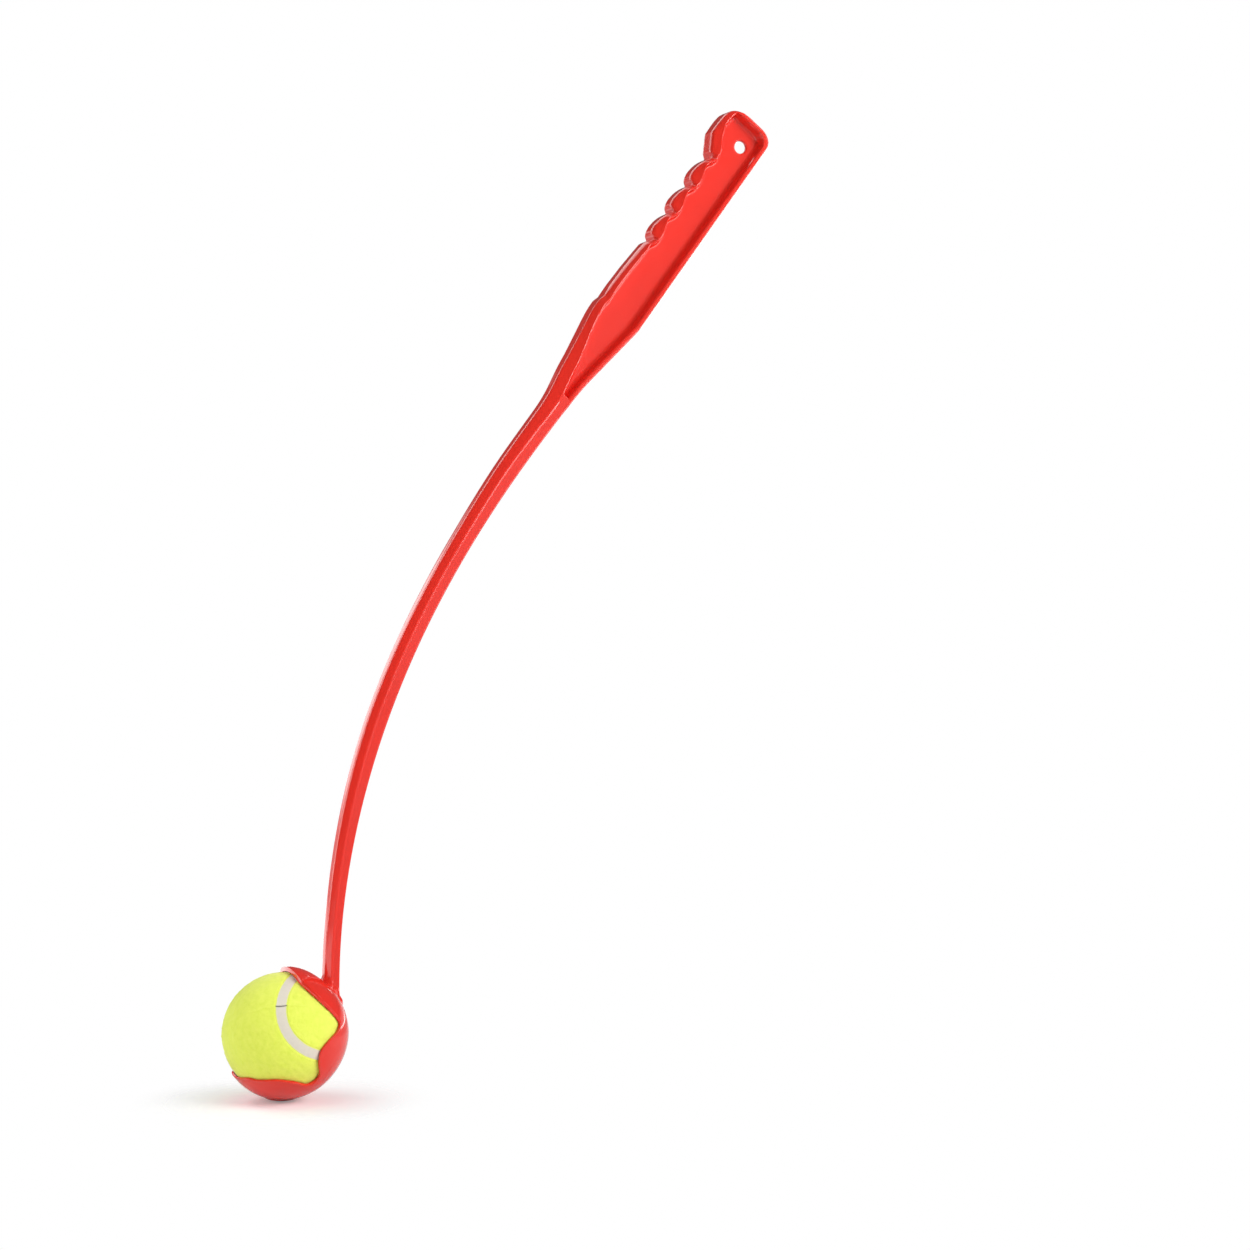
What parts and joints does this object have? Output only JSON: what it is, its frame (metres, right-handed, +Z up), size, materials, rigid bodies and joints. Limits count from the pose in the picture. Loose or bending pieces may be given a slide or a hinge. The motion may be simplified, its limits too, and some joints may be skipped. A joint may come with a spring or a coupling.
{
  "type": "dog ball thrower",
  "caption": "Hand-held dog ball thrower: a curved moulded wand with a recessed finger-grip handle and a jawed snap cup that holds a felt ball.",
  "frame": {"origin": "middle of the hand grip, on the handle's middle plane, 76 mm up from the corner between neck and handle", "axes": "+Z up the wand from the cup towards the handle's end, as it hangs by the hand; +Y across the wand, normal to its middle plane; -X towards the finger side and the cup's mouth"},
  "size_m": [0.3227, 0.0647, 0.5477],
  "materials": {
    "red_plastic": "glossy moulded red",
    "core_rubber": "matt dark rubber",
    "yellow_felt": "brushed yellow-green felt",
    "seam_cement": "matt pale rubber cement"
  },
  "bodies": {
    "thrower": {"wand": "red_plastic"},
    "ball": {"ball_core_upper": "core_rubber", "ball_core_lower": "core_rubber", "ball_felt_upper": "yellow_felt", "ball_felt_lower": "yellow_felt", "ball_seam": "seam_cement"}
  },
  "joints": [
    {"name": "ball_spin", "type": "hinge", "parent": "thrower", "child": "ball", "pos_m": [-0.24413, 0, -0.45135], "axis": [0, 1, 0], "continuous": true}
  ]
}
